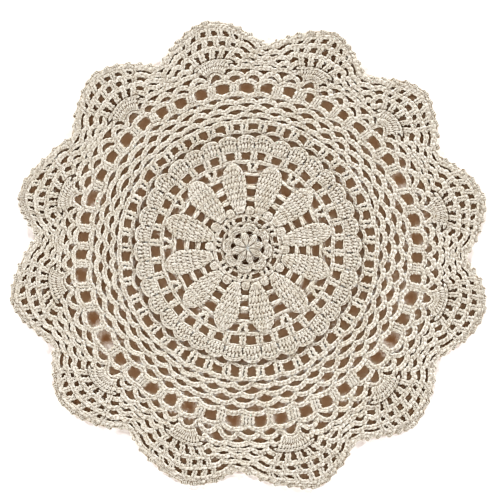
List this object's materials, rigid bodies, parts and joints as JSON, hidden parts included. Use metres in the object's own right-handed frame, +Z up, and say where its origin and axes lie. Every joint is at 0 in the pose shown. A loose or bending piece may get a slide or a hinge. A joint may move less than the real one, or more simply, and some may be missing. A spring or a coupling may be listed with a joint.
{
  "type": "lace doily",
  "caption": "Round crocheted cotton doily with a raised rose, leaves, open net, fans and a scalloped picot edge, to lie flat under a vase or dish.",
  "frame": {"origin": "on the underside, under the middle of the rose", "axes": "+Z up from the table, square to the mat; +X towards the picture's right and +Y towards its top"},
  "size_m": [0.3029, 0.2977, 0.003],
  "materials": {
    "ecru_cotton": "matte crocheted cotton yarn"
  },
  "bodies": {
    "root": {"doily": "ecru_cotton"}
  },
  "joints": []
}
